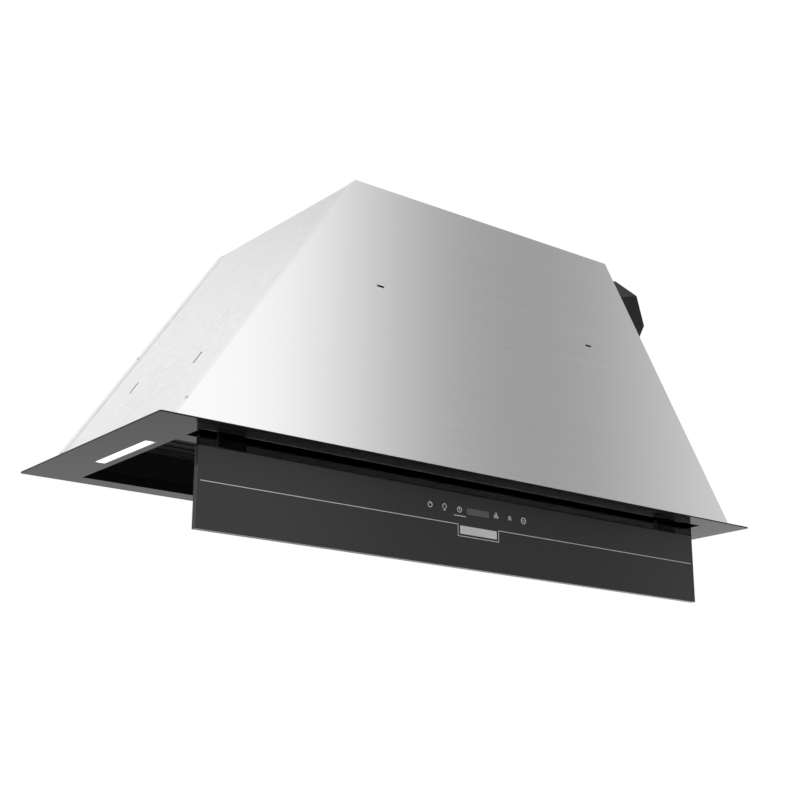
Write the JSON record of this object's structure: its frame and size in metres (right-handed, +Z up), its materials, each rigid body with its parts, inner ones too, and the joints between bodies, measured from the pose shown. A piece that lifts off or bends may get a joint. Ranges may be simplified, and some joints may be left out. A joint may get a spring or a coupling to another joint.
{
  "type": "range hood",
  "caption": "Built-in range hood: sloped steel body, dark trim with lamps, lift-down glass visor with touch strip, two baffle filters, side duct collar, blower.",
  "frame": {"origin": "centre of the cabinet cut-out, on the plane of the trim's upper face where it seats", "axes": "+X to the cook's right seen from the front, +Y towards the wall behind, +Z up"},
  "size_m": [0.9, 0.3266, 0.4448],
  "materials": {
    "dark_enamel": "gloss",
    "zinc_plate": "satin",
    "ground_steel": "polished",
    "brushed_stainless": "brushed",
    "galvanised_sheet": "satin",
    "black_enamel": "satin",
    "filter_enamel": "satin",
    "smoked_glass": "gloss",
    "lens_diffuser": "gloss",
    "white_plastic": "matte",
    "circuit_board": "satin",
    "black_plastic": "matte",
    "bearing_plastic": "satin",
    "motor_case": "satin",
    "motor_core": "satin",
    "capacitor_can": "satin",
    "buffer_rubber": "matte"
  },
  "bodies": {
    "hood": {"back_panel": "galvanised_sheet", "blower_buffers": "buffer_rubber", "blower_inlet_ring": "zinc_plate", "blower_lower_shell": "galvanised_sheet", "blower_upper_shell": "galvanised_sheet", "cable_gland": "white_plastic", "collar_screws": "zinc_plate", "compartment_shield": "black_enamel", "control_board": "circuit_board", "control_box": "black_enamel", "control_box_cover": "black_enamel", "filter_surround": "black_enamel", "front_panel": "brushed_stainless", "guide_bracket_left": "zinc_plate", "guide_bracket_right": "zinc_plate", "guide_rod_left": "ground_steel", "guide_rod_right": "ground_steel", "lamp_left_housing": "white_plastic", "lamp_left_lens": "lens_diffuser", "lamp_left_strip": "circuit_board", "lamp_right_housing": "white_plastic", "lamp_right_lens": "lens_diffuser", "lamp_right_strip": "circuit_board", "left_side_panel": "galvanised_sheet", "lift_bearings": "bearing_plastic", "lift_gear_motor": "motor_case", "motor_capacitor": "capacitor_can", "motor_stator": "motor_core", "outlet_collar": "black_plastic", "outlet_flap_pin": "zinc_plate", "right_side_panel": "galvanised_sheet", "seam_rivets": "zinc_plate", "top_panel": "galvanised_sheet", "trim_frame": "dark_enamel", "trim_nuts": "zinc_plate"},
    "visor": {"visor_glass": "smoked_glass", "visor_back_plate": "black_enamel", "touch_board": "circuit_board", "touch_board_cover": "black_plastic", "carriage_left": "bearing_plastic", "carriage_right": "bearing_plastic", "rack_left": "bearing_plastic", "rack_right": "bearing_plastic"},
    "lift_shaft": {"lift_cross_shaft": "ground_steel", "lift_pinions": "bearing_plastic"},
    "impeller_body": {"impeller": "galvanised_sheet", "motor_rotor": "motor_case", "motor_shaft": "ground_steel"},
    "flap_front": {"outlet_flap_front": "black_plastic"},
    "flap_rear": {"outlet_flap_rear": "black_plastic"},
    "filter_left": {"filter_left_frame": "filter_enamel", "filter_left_baffles": "filter_enamel", "filter_left_handle": "filter_enamel"},
    "filter_right": {"filter_right_frame": "filter_enamel", "filter_right_baffles": "filter_enamel", "filter_right_handle": "filter_enamel"}
  },
  "joints": [
    {"name": "visor_slide", "type": "slide", "parent": "hood", "child": "visor", "axis": [0, 0, 1], "range_m": [0, 0.055]},
    {"name": "lift_shaft_spin", "type": "hinge", "parent": "hood", "child": "lift_shaft", "pos_m": [0, -0.09775, 0.045], "axis": [1, 0, 0], "range_deg": [-396, 1]},
    {"name": "impeller_spin", "type": "hinge", "parent": "hood", "child": "impeller_body", "pos_m": [-0.015, 0.0215, 0.25], "axis": [0, 0, 1], "continuous": true},
    {"name": "flap_front_hinge", "type": "hinge", "parent": "hood", "child": "flap_front", "pos_m": [0.25361, -0.07, 0.27453], "axis": [-0.2874, 0, 0.9578], "range_deg": [0, 75], "stiffness_Nm_per_rad": 0.004},
    {"name": "flap_rear_hinge", "type": "hinge", "parent": "hood", "child": "flap_rear", "pos_m": [0.25361, -0.07, 0.27453], "axis": [0.2874, 0, -0.9578], "range_deg": [0, 75], "stiffness_Nm_per_rad": 0.004},
    {"name": "filter_left_slide", "type": "slide", "parent": "hood", "child": "filter_left", "axis": [0, 1, 0], "range_m": [0, 0.0085]},
    {"name": "filter_right_slide", "type": "slide", "parent": "hood", "child": "filter_right", "axis": [0, 1, 0], "range_m": [0, 0.0085]}
  ],
  "couplings": [
    {"joint": "lift_shaft_spin", "follows": "visor_slide", "rad_per_m": -125}
  ]
}
